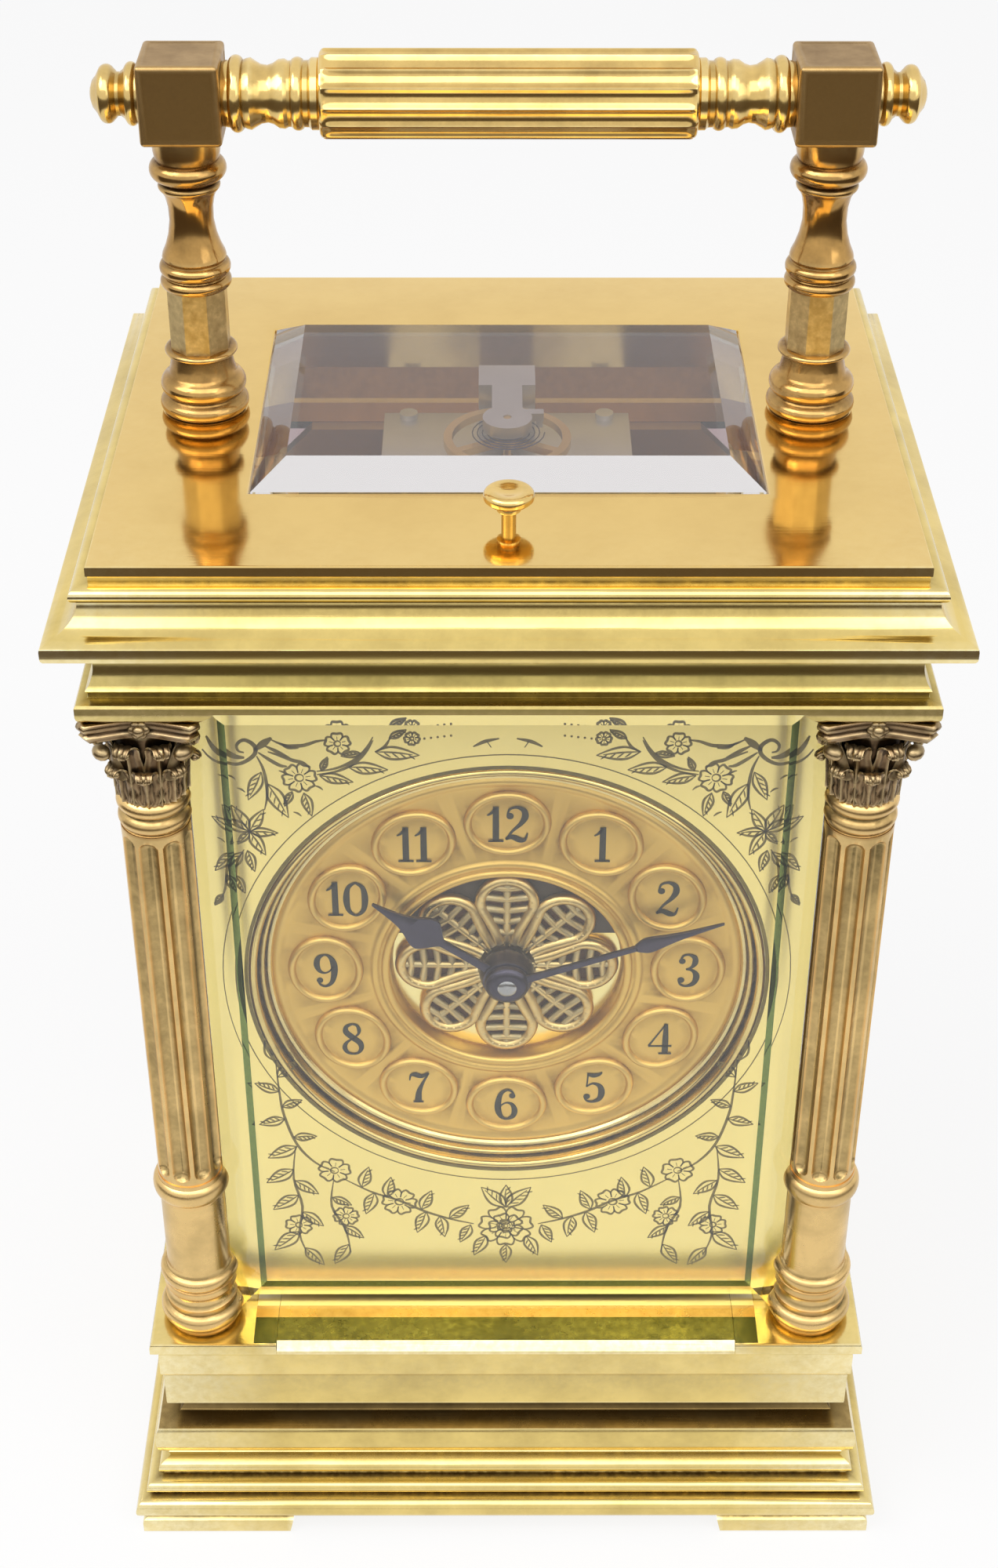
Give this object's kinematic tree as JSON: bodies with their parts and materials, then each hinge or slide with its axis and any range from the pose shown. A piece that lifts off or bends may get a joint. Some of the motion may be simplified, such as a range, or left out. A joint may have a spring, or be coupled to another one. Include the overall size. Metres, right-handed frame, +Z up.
{
  "type": "carriage clock",
  "caption": "Repeating carriage clock in a glazed brass case with fluted columns and a carrying handle; door, hands, button and train move.",
  "frame": {"origin": "on the ground under the middle of the case", "axes": "+Z up, +X to the right as seen from the dial, +Y to the back; the dial faces -Y"},
  "size_m": [0.101, 0.0856, 0.1921],
  "materials": {
    "case_brass": "polished, lacquered yellow brass with fine wear",
    "column_brass": "satin brass with patina in the flutes",
    "capital_bronze": "dark bronze patina with bright edges",
    "plate_brass": "mirror-polished brass with fine scratches",
    "handle_brass": "polished turned brass",
    "block_bronze": "dark toned brass",
    "clear_glass": "clear bevelled glass with a faint green edge",
    "gilt_mask": "pale gilt, engraved and polished",
    "gilt_ring": "matte gilt with raised plaques",
    "blued_steel": "dark blued steel",
    "movement_brass": "polished movement brass",
    "arbor_steel": "polished steel",
    "silvered": "silvered and grained"
  },
  "bodies": {
    "case": {"base_moulding": "case_brass", "base_slab": "case_brass", "column_foot_front_left": "column_brass", "column_foot_front_right": "column_brass", "column_foot_back_left": "column_brass", "column_foot_back_right": "column_brass", "column_shaft_front_left": "column_brass", "column_shaft_front_right": "column_brass", "column_shaft_back_left": "column_brass", "column_shaft_back_right": "column_brass", "capital_front_left": "capital_bronze", "capital_front_right": "capital_bronze", "capital_back_left": "capital_bronze", "capital_back_right": "capital_bronze", "case_screws": "arbor_steel", "entablature": "case_brass", "cornice": "case_brass", "top_plate": "plate_brass", "top_glass": "clear_glass", "front_glass": "clear_glass", "left_glass": "clear_glass", "right_glass": "clear_glass", "door_hinge_pins": "case_brass", "handle_post_left": "handle_brass", "handle_post_right": "handle_brass", "handle_block_left": "block_bronze", "handle_block_right": "block_bronze", "handle_grip": "handle_brass", "handle_collars": "handle_brass", "handle_finials": "handle_brass", "repeat_spring": "arbor_steel", "dial_mask": "gilt_mask", "dial_bezel": "case_brass", "dial_ring": "gilt_ring", "dial_rosette": "gilt_mask", "front_plate": "movement_brass", "back_plate": "movement_brass", "plate_pillars": "movement_brass", "platform": "silvered", "balance_cock": "silvered", "balance_spring": "blued_steel", "gong": "blued_steel"},
    "rear_door": {"door_frame": "case_brass", "door_glass": "clear_glass", "door_knob": "case_brass"},
    "repeat_button": {"repeat_button": "case_brass"},
    "repeat_lever": {"repeat_lever": "arbor_steel"},
    "minute_hand": {"minute_hand": "blued_steel", "cannon_pinion": "arbor_steel"},
    "hour_hand": {"hour_hand": "blued_steel", "hour_wheel": "movement_brass"},
    "minute_wheel": {"minute_wheel": "movement_brass"},
    "going_barrel": {"going_barrel": "movement_brass"},
    "centre_wheel": {"centre_wheel": "movement_brass"},
    "third_wheel": {"third_wheel": "movement_brass"},
    "contrate_wheel": {"contrate_wheel": "movement_brass"},
    "escape_wheel": {"escape_wheel": "movement_brass"},
    "balance_wheel": {"balance_wheel": "movement_brass"},
    "strike_barrel": {"strike_barrel": "movement_brass"},
    "hammer": {"hammer": "arbor_steel"}
  },
  "joints": [
    {"name": "rear_door", "type": "hinge", "parent": "case", "child": "rear_door", "pos_m": [-0.0326, 0.0346, 0.083], "axis": [0, 0, 1], "range_deg": [0, 95]},
    {"name": "repeat_button", "type": "slide", "parent": "case", "child": "repeat_button", "axis": [0, 0, -1], "range_m": [0, 0.0015], "stiffness_N_per_m": 300, "springref_m": -0.002, "deforming": ["repeat_spring"]},
    {"name": "repeat_lever", "type": "hinge", "parent": "case", "child": "repeat_lever", "pos_m": [0, -0.0225, 0.13375], "axis": [1, 0, 0], "range_deg": [0, 20]},
    {"name": "minute_hand", "type": "hinge", "parent": "case", "child": "minute_hand", "pos_m": [0, -0.025, 0.0885], "axis": [0, 1, 0], "continuous": true},
    {"name": "hour_hand", "type": "hinge", "parent": "case", "child": "hour_hand", "pos_m": [0, -0.025, 0.0885], "axis": [0, 1, 0], "continuous": true},
    {"name": "minute_wheel", "type": "hinge", "parent": "case", "child": "minute_wheel", "pos_m": [0.00849, -0.02, 0.08001], "axis": [0, 1, 0], "continuous": true},
    {"name": "going_barrel", "type": "hinge", "parent": "case", "child": "going_barrel", "pos_m": [-0.01302, 0, 0.07299], "axis": [0, 1, 0], "continuous": true},
    {"name": "centre_wheel", "type": "hinge", "parent": "case", "child": "centre_wheel", "pos_m": [0, 0, 0.0885], "axis": [0, 1, 0], "continuous": true},
    {"name": "third_wheel", "type": "hinge", "parent": "case", "child": "third_wheel", "pos_m": [-0.006, 0, 0.10784], "axis": [0, 1, 0], "continuous": true},
    {"name": "contrate_wheel", "type": "hinge", "parent": "case", "child": "contrate_wheel", "pos_m": [0, 0, 0.126], "axis": [0, 1, 0], "continuous": true},
    {"name": "escape_wheel", "type": "hinge", "parent": "case", "child": "escape_wheel", "pos_m": [0, -0.00273, 0.13645], "axis": [0, 0, 1], "continuous": true},
    {"name": "balance_wheel", "type": "hinge", "parent": "case", "child": "balance_wheel", "pos_m": [0, 0.00147, 0.14115], "axis": [0, 0, 1], "range_deg": [-110, 110], "stiffness_Nm_per_rad": 0.000007},
    {"name": "strike_barrel", "type": "hinge", "parent": "case", "child": "strike_barrel", "pos_m": [0.017, 0, 0.05899], "axis": [0, 1, 0], "continuous": true},
    {"name": "hammer", "type": "hinge", "parent": "case", "child": "hammer", "pos_m": [0.027, 0.02, 0.108], "axis": [0, 1, 0], "range_deg": [-12, 0], "stiffness_Nm_per_rad": 0.001, "springref_deg": 2.86}
  ],
  "couplings": [
    {"joint": "repeat_lever", "follows": "repeat_button", "rad_per_m": 225},
    {"joint": "hour_hand", "follows": "minute_hand", "ratio": 0.083333},
    {"joint": "minute_wheel", "follows": "minute_hand", "ratio": -0.33333},
    {"joint": "centre_wheel", "follows": "third_wheel", "ratio": -0.125},
    {"joint": "going_barrel", "follows": "third_wheel", "ratio": 0.015625},
    {"joint": "contrate_wheel", "follows": "third_wheel", "ratio": -7.5},
    {"joint": "escape_wheel", "follows": "third_wheel", "ratio": -75}
  ]
}
